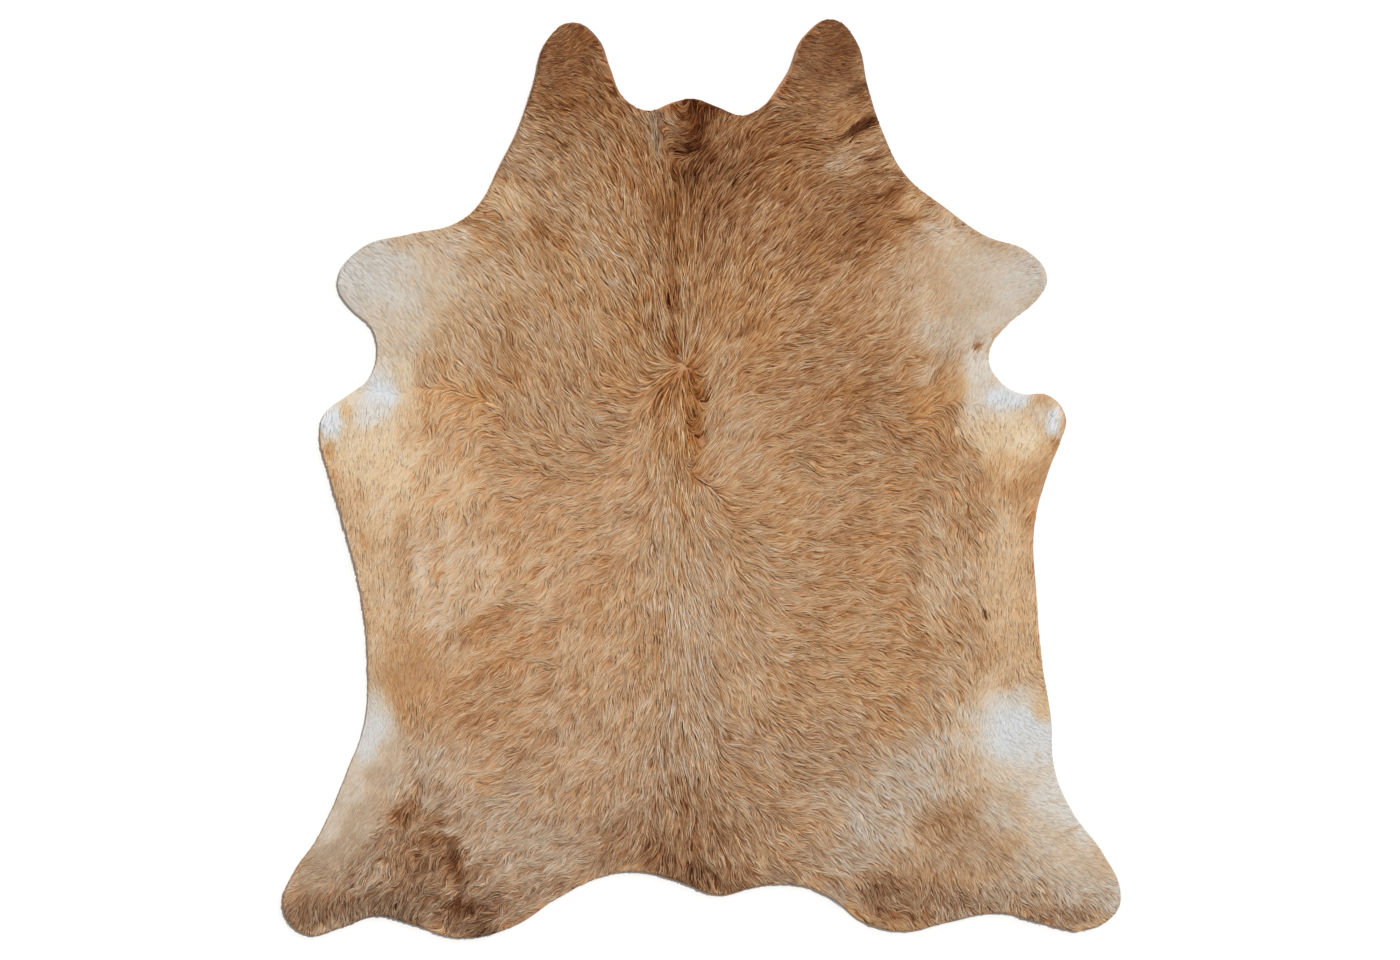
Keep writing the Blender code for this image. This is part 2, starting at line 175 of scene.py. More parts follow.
# How the coat grows in each part of the hide; later rows lie over earlier ones.
# place, x, y, half length, half width, hair length, wave in degrees, lock width in tenths, lift, turn
COAT_GROWTH = (
    ("neck", 0, 600, 420, 420, 55, 18, 42, 125),
    ("left flank", -420, -150, 360, 330, 52, 36, 46, 92),
    ("right flank", 330, -120, 400, 360, 55, 30, 46, 95),
    ("rump", 0, -760, 500, 220, 52, 30, 42, 100),
    ("spine", -46, -50, 75, 1000, 70, 8, 36, 138),
    ("left thigh", -660, -960, 300, 150, 46, 48, 52, 110, -15),
    ("right thigh", 650, -860, 260, 170, 36, 20, 40, 95),
    ("tail", -20, -900, 120, 100, 60, 20, 50, 122),
    ("left neck flap", -320, 1000, 110, 160, 30, 16, 36, 130, 10),
    ("right neck flap", 320, 1000, 110, 190, 30, 16, 36, 90, -10),
    ("poll", -18, 835, 75, 78, 36, 22, 46, 115),
    ("left foreleg", -730, 430, 200, 160, 25, 8, 34, 100, 30),
    ("right foreleg", 700, 430, 220, 150, 24, 8, 34, 85, -30),
    ("left armpit", -780, 200, 125, 95, 18, 6, 32, 80),
    ("right armpit", 720, 220, 120, 85, 18, 6, 32, 80),
    ("left elbow", -820, 80, 120, 140, 28, 8, 36, 110),
    ("right elbow", 770, 100, 120, 150, 28, 8, 36, 90),
    ("left flank, sleek edge", -770, -190, 100, 290, 36, 14, 40, 92),
    ("right flank, sleek edge", 735, -230, 85, 290, 36, 14, 40, 72),
    ("left flank, sleek patch", -700, -460, 110, 80, 30, 10, 38, 72),
    ("left groin", -790, -620, 80, 140, 18, 5, 32, 75),
    ("right groin", 760, -600, 140, 140, 18, 5, 32, 75),
    ("whorl", -49, 284, 16, 16, 14, 0, 30, 60),
    ("left shank", -870, -840, 190, 85, 26, 8, 34, 85, 55),
    ("right shank", 880, -830, 200, 120, 24, 8, 34, 85, -55),
    ("right hind edge", 640, -1035, 300, 45, 44, 42, 48, 110),
)
BODY_GROWTH = (0.054, 28.0, 0.0046, 1.0)
SHORT_HAIR = 0.016
LONG_HAIR = 0.044

# Colour of the coat: tone from 0, darkest, to 100, palest; warmth from 0, greyish, to 100, reddish.
# Later rows lie over earlier ones.
# part of the hide, then its markings: marking, x, y, half length, half width, tone, warmth, strength, turn
MARKINGS = (
    ("neck", ("brown", 20, 730, 420, 220, 49, 66, 90)),
    ("right neck", ("brown", 260, 680, 270, 190, 45, 67, 90)),
    ("right shoulder", ("dark brown", 335, 580, 150, 90, 42, 72, 90, 12),
     ("low orange brown", 110, 430, 150, 150, 54, 76, 85)),
    ("left neck", ("sandy", -350, 660, 160, 200, 60, 56, 90),
     ("orange brown", -165, 780, 80, 120, 50, 66, 85), ("caramel", -230, 600, 90, 120, 60, 62, 80)),
    ("left shoulder", ("sandy", -340, 450, 160, 130, 63.5, 60, 80),
     ("cream front", -530, 470, 110, 130, 70, 52, 90), ("beige", -400, 352, 100, 40, 68, 50, 80)),
    ("left foreleg", ("cream front root", -575, 600, 40, 45, 74, 44, 85)),
    ("left of the spine", ("orange brown", -140, 360, 60, 150, 54, 80, 85),
     ("low orange brown", -190, 210, 80, 60, 57, 70, 80)),
    ("left shoulder", ("sandy by the spine", -200, 410, 36, 40, 62, 64, 80)),
    ("left ribs", ("reddish streaks", -455, 320, 32, 110, 57, 68, 80, 6),
     ("caramel by the armpit", -600, 200, 95, 85, 66, 76, 90), ("beige", -330, 120, 190, 90, 62, 50, 80)),
    ("right ribs", ("brown", 330, 240, 260, 170, 54, 64, 90), ("reddish dip", 380, 205, 100, 30, 48, 72, 85),
     ("caramel by the armpit", 555, 130, 60, 130, 57, 82, 90, 8), ("low brown", 390, 60, 150, 70, 53, 64, 80),
     ("beige", 257, 246, 50, 40, 58, 46, 70), ("brown middle", 303, 152, 60, 40, 49, 62, 70)),
    ("right shoulder", ("brown below", 211, 383, 50, 36, 51, 66, 70),
     ("dark middle", 268, 540, 50, 42, 41, 70, 80)),
    ("right of the spine", ("beige locks", 85, 100, 65, 100, 63, 44, 85)),
    ("right loin", ("caramel", 300, -160, 240, 220, 61, 57, 70),
     ("warm band", 468, -250, 42, 240, 62, 66, 90, 3), ("reddish locks", 410, -135, 80, 30, 53, 70, 70, -8)),
    ("left flank", ("cream field", -640, -230, 150, 150, 74.5, 40, 95),
     ("pale front", -650, -10, 130, 90, 75, 66, 90)),
    ("left loin", ("curls", -510, -400, 130, 130, 58, 58, 85)),
    ("loin", ("beige", -80, -330, 170, 310, 64, 46, 85)),
    ("rump", ("greyish beige", -60, -730, 560, 200, 59, 34, 95)),
    ("left loin", ("beige", -290, -500, 130, 110, 61, 42, 80), ("cream", -525, -262, 36, 40, 74, 42, 80),
     ("brown inner", -204, -260, 45, 45, 58, 52, 60)),
    ("left rump", ("greyish", -300, -770, 140, 80, 57, 24, 70), ("beige", -249, -676, 50, 40, 64, 22, 70)),
    ("right rump", ("caramel spot", 257, -630, 40, 32, 56, 52, 75),
     ("beige by the spine", 112, -440, 50, 120, 65, 36, 70)),
    ("left thigh", ("brown crease", -432, -676, 36, 30, 49, 30, 80),
     ("brown front", -500, -528, 130, 50, 54, 54, 75)),
    ("left loin", ("beige middle", -340, -280, 70, 140, 65, 44, 60),
     ("beige by the spine", -249, -169, 36, 36, 66, 44, 70),
     ("caramel spot", -386, -400, 36, 30, 56, 58, 80)),
    ("left flank", ("edge", -800, -240, 50, 260, 70, 54, 90, 4), ("front rim", -862, -50, 22, 70, 66, 34, 80),
     ("cream front", -775, -80, 50, 55, 79, 60, 85), ("tan patch", -715, -215, 24, 100, 60, 60, 85),
     ("pale inner", -388, -215, 45, 40, 68, 46, 80), ("low edge", -785, -440, 30, 80, 68, 46, 90),
     ("caramel patch", -675, -480, 80, 95, 58, 66, 95), ("cream tongue", -600, -345, 55, 100, 73, 34, 85)),
    ("right flank", ("pale band", 572, -290, 44, 200, 71, 50, 90),
     ("warm line", 645, -290, 22, 170, 67, 58, 80), ("cream", 730, -240, 55, 230, 75, 60, 90),
     ("sandy", 640, -242, 85, 55, 73, 48, 80), ("brown root", 515, -28, 48, 30, 58, 70, 60),
     ("brown front", 533, -8, 36, 45, 53, 72, 75), ("brown low", 533, -400, 36, 40, 56, 68, 75),
     ("edge", 790, -400, 45, 130, 72, 64, 85), ("caramel inner edge", 761, -370, 36, 45, 67, 62, 80),
     ("dark spot", 679, -325, 8, 9, 26, 60, 95), ("second spot", 706, -318, 5, 9, 40, 60, 70, 30)),
    ("right thigh", ("sandy by the groin", 585, -556, 45, 45, 70, 42, 80)),
    ("left neck flap", ("dark brown", -320, 1010, 110, 120, 31, 66, 100, 10),
     ("brown foot", -290, 880, 130, 70, 41, 68, 90)),
    ("right neck flap", ("dark brown", 310, 1025, 100, 130, 33, 60, 100, -8),
     ("brown foot", 315, 890, 110, 60, 46, 64, 90)),
    ("right of the poll", ("brown edge", 166, 880, 70, 30, 38, 60, 80, -10),
     ("brown", 160, 795, 100, 60, 39, 72, 85)),
    ("left neck", ("tan edge", -440, 800, 36, 80, 61, 40, 90, -22),
     ("light tan", -405, 765, 44, 46, 60, 50, 80), ("brown by the tan", -335, 802, 40, 42, 47, 62, 85),
     ("brown band", -400, 700, 70, 20, 52, 60, 60, 24), ("cream streak", -462, 664, 50, 42, 77, 70, 90, -30),
     ("shaded edge", -550, 625, 40, 18, 52, 62, 80, 30), ("lilac spot", -247, 546, 22, 20, 66, 12, 60),
     ("small lilac spot", -207, 462, 26, 16, 66, 16, 50)),
    ("left shoulder", ("dark blotch", -380, 596, 24, 26, 38, 80, 95, -20),
     ("second blotch", -330, 572, 26, 26, 44, 82, 90), ("third blotch", -318, 618, 16, 20, 46, 76, 80),
     ("sandy by the blotch", -442, 612, 42, 34, 72, 54, 80), ("caramel", -500, 570, 70, 40, 62, 64, 70)),
    ("neck", ("brown below the poll", 30, 715, 100, 80, 31, 68, 85)),
    ("spine", ("brown down the neck", -5, 630, 35, 90, 36, 76, 85)),
    ("poll", ("brown", -20, 840, 78, 70, 36, 64, 85), ("left arcs", -76, 862, 18, 34, 47, 56, 80),
     ("dark chestnut", -18, 852, 30, 55, 18, 100, 95), ("dark front edge", 0, 892, 56, 14, 11, 100, 90, -14),
     ("darkest curl", -16, 784, 40, 24, 8, 100, 100), ("brown tail", -14, 738, 30, 40, 23, 74, 90),
     ("left grey parting", -108, 850, 11, 75, 41, 6, 85, 4),
     ("left pale line", -129, 850, 10, 70, 50, 32, 70, 4)),
    ("spine", ("brown left of the line", -98, 600, 28, 110, 43, 74, 85),
     ("dark spot on the neck", -60, 650, 22, 34, 32, 90, 90),
     ("brown right of the line", 30, 545, 30, 60, 43, 74, 80),
     ("brown on the shoulder", -70, 490, 17, 150, 35, 84, 92),
     ("red brown on the neck", -28, 560, 20, 110, 46, 80, 75),
     ("brown left above the whorl", -114, 355, 22, 50, 46, 78, 80)),
    ("left of the spine", ("brown below the whorl", -93, 150, 28, 75, 47, 84, 90)),
    ("spine", ("pale line on the shoulder", -22, 400, 12, 120, 60, 60, 60, -4),
     ("red above the whorl", -76, 320, 17, 40, 34, 100, 100),
     ("brown left of the whorl", -80, 228, 22, 38, 36, 100, 95),
     ("red right of the whorl", -16, 195, 22, 95, 36, 100, 100, 2),
     ("red on the ribs", -26, 110, 30, 110, 49, 94, 90),
     ("orange on the loin", -34, -30, 26, 80, 54, 86, 85)),
    ("left of the spine", ("orange strip", -66, 60, 18, 80, 50, 80, 80)),
    ("spine", ("beige band", -8, -330, 40, 260, 64.5, 42, 70),
     ("beige band, low", -5, -560, 30, 110, 64, 32, 70)),
    ("right of the spine", ("beige", 60, -215, 50, 50, 68, 46, 70)),
    ("right loin", ("beige patch", 118, -215, 34, 34, 67, 46, 70)),
    ("rump", ("brown middle", -45, -755, 65, 70, 48, 46, 80),
     ("brown right of the middle", 27, -767, 36, 36, 49, 46, 75)),
    ("whorl", ("pale centre", -50, 282, 10, 11, 72, 15, 100)),
    ("spine", ("red line at the tail", -44, -800, 12, 80, 36, 76, 90)),
    ("tail", ("brown", 0, -870, 100, 65, 45, 46, 90), ("dark end", 0, -952, 110, 34, 29, 38, 95, -12)),
    ("right buttock", ("brown rim", 180, -952, 60, 26, 48, 20, 90),
     ("greyish", 257, -904, 40, 36, 60, 20, 80), ("grey low", 394, -997, 40, 30, 58, 8, 90)),
    ("left buttock", ("greyish beige", -320, -880, 120, 70, 57, 14, 90, 25),
     ("brown", -185, -898, 65, 36, 40, 38, 95), ("brown rim", -365, -978, 60, 34, 40, 2, 90),
     ("grey low", -432, -1043, 40, 28, 46, 0, 80)),
    ("left of the tail", ("brown", -95, -908, 42, 46, 37, 42, 90)),
    ("left rump", ("brown back", -185, -834, 90, 34, 46, 34, 90),
     ("brown spot", -204, -858, 34, 26, 42, 36, 80)),
    ("left foreleg", ("sandy root", -610, 390, 90, 140, 70, 54, 90, 10),
     ("greyish", -770, 470, 150, 130, 83, 16, 100, 20), ("tip", -855, 480, 60, 80, 84, 12, 100),
     ("cream root", -620, 510, 80, 90, 79, 48, 90, 20), ("back", -745, 330, 90, 90, 80, 36, 95),
     ("cream front", -571, 565, 36, 30, 80, 50, 70), ("warm grey middle", -708, 474, 40, 34, 79, 28, 80),
     # the low edge patch is painted shade along the foreleg's lower left rim
     ("beige root", -571, 335, 45, 30, 71, 42, 80), ("shaded low edge", -845, 428, 40, 30, 78, 5, 85)),
    ("right foreleg", ("greyish", 700, 460, 170, 130, 70.5, 7, 100, -30),
     ("tip", 790, 500, 70, 80, 76, 0, 100), ("sandy root", 500, 460, 80, 120, 67, 38, 90, -20),
     ("back", 592, 335, 80, 55, 73, 14, 90, -10), ("grey back", 690, 380, 42, 30, 77, 0, 80),
     ("grey cream root", 670, 335, 34, 26, 75, 4, 80), ("beige front", 590, 590, 70, 40, 76, 30, 85, -38)),
    ("right armpit", ("cream spot", 665, 260, 50, 50, 87, 30, 92),
     ("pale locks", 535, 248, 30, 22, 74, 42, 80, 30), ("white", 722, 190, 62, 36, 90, 0, 100)),
    ("left armpit", ("cream hollow", -800, 185, 88, 95, 87, 50, 95),
     ("white", -768, 198, 40, 55, 91, 0, 100, 5), ("cream strands", -702, 255, 22, 42, 85, 62, 90),
     ("beige inner", -662, 244, 34, 34, 69, 52, 80)),
    ("left elbow", ("cream", -790, 50, 120, 100, 83, 74, 95)),
    ("left armpit", ("pale by the white", -799, 152, 30, 26, 88, 20, 75),
     ("caramel inner", -706, 150, 30, 36, 75, 60, 80)),
    ("left elbow", ("white tip", -892, 140, 30, 50, 94, 10, 100), ("brown rim", -892, 76, 10, 22, 56, 80, 60),
     ("tan spot", -852, 160, 14, 20, 72, 80, 70)),
    ("right elbow", ("pale top", 715, 146, 42, 22, 88, 10, 75)),
    ("right armpit", ("cream strands", 652, 170, 30, 70, 85, 38, 90)),
    ("right elbow", ("cream lobe", 745, 100, 90, 60, 86, 76, 92),
     ("cream streaks", 670, 95, 50, 50, 82, 74, 90, -20)),
    ("right armpit", ("white corner", 765, 198, 24, 24, 89, 0, 90),
     ("dark dot", 660, 316, 9, 10, 36, 60, 90)),
    ("right elbow", ("beige rim", 809, 155, 24, 22, 82, 40, 80), ("white tip", 845, 135, 22, 46, 94, 10, 100),
     ("brown rim", 846, 85, 10, 26, 52, 85, 80, 10), ("sandy", 740, 20, 60, 30, 76, 70, 85, -20),
     ("orange smudge", 772, -18, 55, 26, 55, 80, 90)),
    ("right neck", ("lilac spot", 165, 540, 36, 22, 58, 20, 55, 30),
     ("dark stripe at the flap", 367, 930, 40, 11, 22, 50, 90, 24),
     ("darkest stripe", 380, 841, 56, 11, 12, 60, 100, 30),
     ("ridge under the stripe", 398, 822, 50, 9, 60, 52, 80, 28),
     ("tan between stripes", 370, 796, 50, 12, 56, 60, 80, 14),
     ("faint stripe", 400, 766, 34, 10, 30, 66, 80, 16),
     ("tan by the stripe", 335, 752, 44, 24, 60, 52, 85, 8), ("brown stripe", 420, 728, 56, 8, 34, 66, 85, 6),
     ("lower dark patch", 447, 680, 44, 18, 30, 80, 90, 12),
     ("orange tan lobe", 500, 657, 30, 36, 65, 56, 90, -30),
     ("crease under the lobe", 485, 621, 44, 8, 32, 72, 85, 2),
     ("tan under the dark patch", 394, 611, 34, 28, 46, 60, 80)),
    ("right groin", ("cream round", 740, -590, 130, 120, 80, 46, 80),
     ("white", 752, -610, 92, 82, 88, 0, 100), ("bluish corner", 815, -650, 60, 46, 87, 0, 100, 30),
     ("tan corner", 818, -552, 26, 30, 75, 60, 95), ("grey spot", 806, -664, 10, 9, 66, 0, 80)),
    ("left thigh", ("lilac grey", -700, -690, 130, 70, 67, 2, 90, -10),
     ("greyish strip", -470, -880, 150, 110, 60, 0, 97, -30),
     ("brown inner edge", -520, -955, 45, 45, 49, 8, 80)),
    ("left leg", ("pinkish beige", -760, -860, 170, 150, 61, 18, 95, 50)),
    ("left shank", ("grey cream", -850, -820, 150, 65, 65, 0, 97, 58),
     ("low", -890, -920, 90, 60, 56, 0, 95, 48)),
    ("left groin", ("grey cream below", -835, -738, 45, 60, 76, 0, 95, -20),
     ("grey cream inner", -782, -700, 28, 34, 77, 0, 85), ("pinkish inner", -750, -605, 22, 50, 73, 0, 90),
     ("white", -800, -615, 40, 78, 84, 0, 95, -14), ("grey cream above", -800, -532, 32, 32, 77, 2, 85),
     ("beige below", -777, -716, 34, 30, 60, 6, 90)),
    ("left flank", ("beige low edge", -800, -486, 30, 22, 69, 30, 80),
     ("tan swirl", -626, -224, 24, 18, 62, 66, 85),
     ("tan arc over the swirl", -640, -148, 46, 12, 65, 62, 70, -15),
     ("cream ring", -674, -225, 18, 48, 81, 48, 80), ("red speck, front", -812, -145, 8, 26, 58, 80, 70),
     ("low curl", -690, -385, 36, 20, 62, 62, 70), ("red speck, upper", -451, -186, 20, 12, 54, 80, 70, 30),
     ("red speck, middle", -408, -230, 24, 12, 54, 80, 70, 30),
     ("red speck, inner", -242, -193, 24, 14, 54, 76, 70)),
    ("left shank", ("beige inner", -800, -815, 40, 45, 60, 5, 80)),
    ("left leg", ("brown inner", -815, -924, 60, 40, 48, 3, 90, 40)),
    ("left shank", ("pale edge", -893, -834, 30, 45, 75, 0, 80, -20)),
    ("left toe", ("grey tip", -978, -968, 40, 30, 56, 12, 95)),
    ("left thigh", ("brown", -650, -890, 90, 150, 42, 38, 95, -8),
     ("grey beside the tufts", -560, -832, 60, 60, 60, 3, 85, -20),
     ("low brown", -620, -1030, 170, 50, 37, 14, 95), ("dark brown low", -662, -952, 36, 32, 37, 12, 80),
     ("dark tuft", -588, -926, 16, 42, 20, 62, 95, 12)),
    ("left leg", ("brown middle", -755, -858, 40, 34, 46, 26, 80)),
    ("left thigh", ("middle dark arc", -625, -866, 50, 12, 30, 60, 80),
     ("upper dark tuft", -700, -806, 42, 22, 37, 60, 85, 10),
     ("lilac over the tufts", -640, -768, 50, 22, 63, 0, 80),
     ("lower dark tuft", -575, -1030, 36, 26, 24, 44, 90), ("dark rim", -545, -1080, 58, 22, 29, 4, 95),
     ("brown rim", -455, -1042, 36, 24, 46, 4, 90, 20)),
    ("left hind toe", ("grey brown", -940, -1040, 80, 52, 39, 0, 97)),
    ("left hind leg", ("grey brown edge", -800, -1030, 120, 50, 35, 0, 95, 4)),
    ("right thigh", ("greyish strip", 465, -760, 175, 90, 73, 8, 95, 20),
     ("greyish root", 530, -668, 95, 60, 74, 12, 90, 10), ("grey patch", 410, -840, 80, 70, 72, 0, 85),
     ("pale inner", 358, -912, 58, 45, 66, 0, 95), ("grey rim", 328, -992, 42, 24, 53, 2, 90, -20)),
    ("right groin", ("sandy root", 620, -700, 60, 50, 71, 32, 85)),
    ("right thigh", ("brown", 610, -835, 75, 55, 48, 44, 90), ("middle", 640, -900, 130, 60, 60, 28, 90),
     ("low brown", 450, -1010, 80, 55, 40, 32, 95)),
    ("right hind leg", ("brown edge", 600, -1020, 120, 45, 50, 20, 90),
     ("grey edge", 750, -1000, 100, 40, 57, 10, 90)),
    ("right shank", ("cream", 860, -790, 150, 85, 87, 26, 100, -54),
     ("top edge", 750, -720, 70, 30, 81, 36, 90, -10), ("pale grey", 850, -885, 120, 50, 74, 22, 90, -40),
     ("inner cream", 712, -808, 50, 55, 74, 6, 90)),
    ("right hind leg", ("pale inner", 790, -928, 50, 45, 70, 5, 90),
     # the upper crease and the crease are painted shade: darker lines where the leg's skin folds
     ("upper crease", 840, -774, 40, 4, 74, 10, 50, 4), ("crease", 872, -850, 40, 5, 64, 5, 75, 26)),
    ("right hind toe", ("beige", 920, -1000, 100, 60, 70, 0, 95), ("pale tip", 990, -1000, 34, 50, 76, 0, 90),
     ("brown rim", 850, -1048, 85, 22, 51, 18, 90)),
    ("left loin", ("dark arc, upper", -530, -350, 90, 20, 52, 66, 70, 22),
     ("dark arc, middle", -500, -470, 60, 18, 51, 62, 70),
     ("dark arc, low", -540, -580, 50, 20, 51, 56, 70, 25), ("pale patch", -385, -560, 45, 30, 66, 36, 70)),
)
BODY_TONE = 0.61
BODY_WARMTH = 0.57

# How a marking or a kind of coat fades out: where it ends, over how much of its size, how fast.
PATCH_END, PATCH_FADE, PATCH_POWER = 1.52, 0.94, 1.3

# How the direction at one place gives way to the next.
LIE_SOFTNESS, LIE_FALL = 0.0006, 1.8

# Soft noise: width of its grids in metres, their turns in radians, its gain.
NOISE_SPAN, NOISE_TURNS, NOISE_GAIN = 4.8, (0.43, 1.31), 0.72

# What is uneven: share, size of its lumps, seed
CLUMP_SIZE = 0.010
UNEVEN = {
    "coat edges": ((0.15, 0.050, 31),),
    "marking edges": ((0.26, 0.045, 32), (0.14, 0.016, 33)),
    "tone": ((0.036, 0.060, 34), (0.030, 0.026, 35)),
    "warmth": ((0.10, 0.060, 36), (0.06, 0.020, 37)),
    "sway": ((1.05, 0.028, 41), (0.70, 0.011, 42)),
    "clumps": ((1.0, CLUMP_SIZE, 51), (0.5, CLUMP_SIZE * 2.3, 52)),
}

# Layers of the coat, from the skin up. Their tone shift darkens and warms the lower layers and lightens the
# top one: partly the hair's own colour, partly painted shade deep in the coat.
# piece, locks, strands a lock, strand width, length share, lift, tone shift, warmth shift, seed
COAT_LAYERS = (
    ("under_coat", 26500, 1, 0.0070, 0.90, 0.64, -0.04, 0.09, 21),
    ("top_coat_1", 9000, 3, 0.0028, 1.00, 0.78, -0.02, 0.03, 22),
    ("top_coat_2", 13500, 2, 0.0025, 1.00, 0.86, 0.00, 0.00, 23),
    ("top_coat_3", 27000, 1, 0.0022, 1.00, 0.94, 0.01, -0.01, 24),
    ("top_coat_4", 27000, 1, 0.0019, 1.00, 1.00, 0.03, -0.02, 25),
)
# Shape of one strand: share of its length, share of its rise, share of its width.
STRAND_SHAPE = (
    ("root", 0.00, 0.00, 0.85),
    ("lower part", 0.25, 0.70, 1.00),
    ("middle", 0.52, 0.95, 0.88),
    ("upper part", 0.78, 1.00, 0.60),
    ("tip", 1.00, 0.93, 0.00),
)
PATH_STEPS = 9
GATHER = 0.40
ROOT_SET_BACK = 0.40
TRIAL_ROOTS = 2.6
PATH_SEED = 100
THIN_LENGTH, THINNEST, THICKEST = 0.036, 0.8, 2.4
FULL_LENGTH, SLIMMEST = 0.034, 0.6
EDGE_DROOP, LOWEST_HAIR, LEAST_REACH = 0.65, 0.0008, 0.06

# How one lock or strand differs from the next: least and most, or spread in degrees.
LENGTH_SPREAD = (0.75, 1.15)
LOCK_LIFT_SPREAD = (0.94, 1.05)
LIFT_SPREAD = (0.94, 1.04)
WIDTH_SPREAD = (0.75, 1.20)
SIDE_SPREAD = (-0.3, 0.3)
ROOT_SPREAD = (0.0, 0.22)
REACH_SPREAD = (0.66, 0.98)
OWN_TURN, WAVE_TURN, WAVE_BEND = 5.0, 0.16, 0.35
BEND_START = 0.3
MIDDLE_LIFT, SIDE_DROP = 1.03, 0.12
STRAND_ROLL, ROLL_SPREAD = 18.0, 10.0

# What is left of each effect in the sleekest hair.
SLEEK_RAGGED, SLEEK_PLAIN, SLEEK_ROLL, SLEEK_LIFT = 0.3, 0.35, 0.3, 0.2
SLEEK_TIPWARD = 0.6  # how far sleek hair shows its tip's colour down to the root

# How the colour of clumps, locks and strands differs; pale coats are plainer than dark ones.
PLAIN_ABOVE, PLAIN_FADE, PLAINEST, BOLDEST = 0.97, 0.36, 0.12, 1.25
CLUMP_TONE, CLUMP_WARMTH = 0.026, 0.06
LOCK_TONE, LOCK_WARMTH = 0.02, 0.03
STRAND_TONE = 0.074
DARK_LIMIT, PALE_LIMIT = -2.2, 1.9
USUAL_SHARE = 0.4  # mean of the lighter, or of the darker, half of the strands' spread
PALE_WARMTH = 1.6  # the lighter strands of a pale coat are warmer
CREAM_GAIN, CREAM_START = 4.0, 2.4
DEEP_WARMTH = 1.2  # the darker strands are warmer
EVEN_ABOVE, EVEN_FADE, EVENEST = 0.95, 0.3, 0.2  # unevenness fades out towards white
LEAST_TONE, MOST_TONE = 0.01, 0.99
# how much painted shade darkens the skin under the longest hair
SKIN_SHADE = 0.75

# The colour chart: the tone runs across it, and the warmth up it in bands, root to tip in each.
BANDS = 16
BAND_EDGE = 0.08
STREAK_SPAN = 0.004
STREAK_TONE = 0.60
STREAKS_ACROSS, STREAKS_ALONG = 640.0, 1.6


def listed(rows, units):
    """Named rows of a table as numbers; a turn left out at the end is 0."""
    table = []
    for _name, *values in rows:
        values += [0] * (len(units) - len(values))
        table.append([value / unit for value, unit in zip(values, units)])
    return table


def places(parts):
    """The named places of every part of the hide, one after another."""
    return [place for _part, *rows in parts for place in rows]


def smooth_noise(x, y, size, seed):
    """Soft noise between about -1 and 1, with lumps of the given size in metres, from two turned grids."""
    rng = np.random.default_rng(seed)
    cells = int(NOISE_SPAN / size) + 4
    total = 0.0
    for turn in NOISE_TURNS:
        grid = rng.uniform(-1.0, 1.0, (cells, cells))
        u = (np.asarray(x) * math.cos(turn) + np.asarray(y) * math.sin(turn) + NOISE_SPAN / 2) / size
        v = (np.asarray(y) * math.cos(turn) - np.asarray(x) * math.sin(turn) + NOISE_SPAN / 2) / size
        i = np.clip(u.astype(int), 0, cells - 2)
        j = np.clip(v.astype(int), 0, cells - 2)
        a = np.clip(u - i, 0.0, 1.0)
        b = np.clip(v - j, 0.0, 1.0)
        a = a * a * (3.0 - 2.0 * a)
        b = b * b * (3.0 - 2.0 * b)
        total = total + between(grid, i, j, a, b) * NOISE_GAIN
    return total


def between(grid, i, j, a, b):
    """Values between four neighbours of a grid."""
    near = grid[j, i] * (1 - a) + grid[j, i + 1] * a
    far = grid[j + 1, i] * (1 - a) + grid[j + 1, i + 1] * a
    return near * (1 - b) + far * b


def uneven(kind, x, y):
    """Soft unevenness of one kind at each point."""
    return sum(share * smooth_noise(x, y, size, seed) for share, size, seed in UNEVEN[kind])


def patch_weight(x, y, patch, turn, ragged):
    """Share of a named patch at each point: 1 in its middle, fading over its edge."""
    cx, cy, half_long, half_wide = patch
    c, s = math.cos(math.radians(turn)), math.sin(math.radians(turn))
    dx, dy = x - cx, y - cy
    u = (dx * c + dy * s) / half_long
    v = (dy * c - dx * s) / half_wide
    reach = np.sqrt(u * u + v * v) + ragged
    return np.clip((PATCH_END - reach) / PATCH_FADE, 0.0, 1.0) ** PATCH_POWER


def lie_heading(x, y):
    """Unit direction of the hair at each point, nearer places of HAIR_LIE counting more."""
    total = np.zeros((len(x), 2))
    for gx, gy, heading in listed(places(HAIR_LIE), LIE_UNITS):
        near = 1.0 / ((x - gx) ** 2 + (y - gy) ** 2 + LIE_SOFTNESS) ** LIE_FALL
        total[:, 0] += near * math.cos(math.radians(heading))
        total[:, 1] += near * math.sin(math.radians(heading))
    return total / np.maximum(np.hypot(total[:, 0], total[:, 1]), 1e-9)[:, None]


def growth(x, y):
    """Hair length, wave, lock width and lift at each point."""
    values = np.tile(np.array(BODY_GROWTH), (len(x), 1))
    ragged = uneven("coat edges", x, y)
    for *row, turn in listed(COAT_GROWTH, GROWTH_UNITS):
        share = patch_weight(x, y, row[:4], turn, ragged)[:, None]
        values = values * (1.0 - share) + np.array(row[4:]) * share
    return values


def fluffiness(kinds):
    """0 where the hair is short and sleek, 1 where it is long."""
    return np.clip((kinds[:, 0] - SHORT_HAIR) / (LONG_HAIR - SHORT_HAIR), 0.0, 1.0)


def with_sleek(least, fluff):
    """A share that is 1 in long hair and drops to the given least in sleek hair."""
    return least + (1.0 - least) * fluff


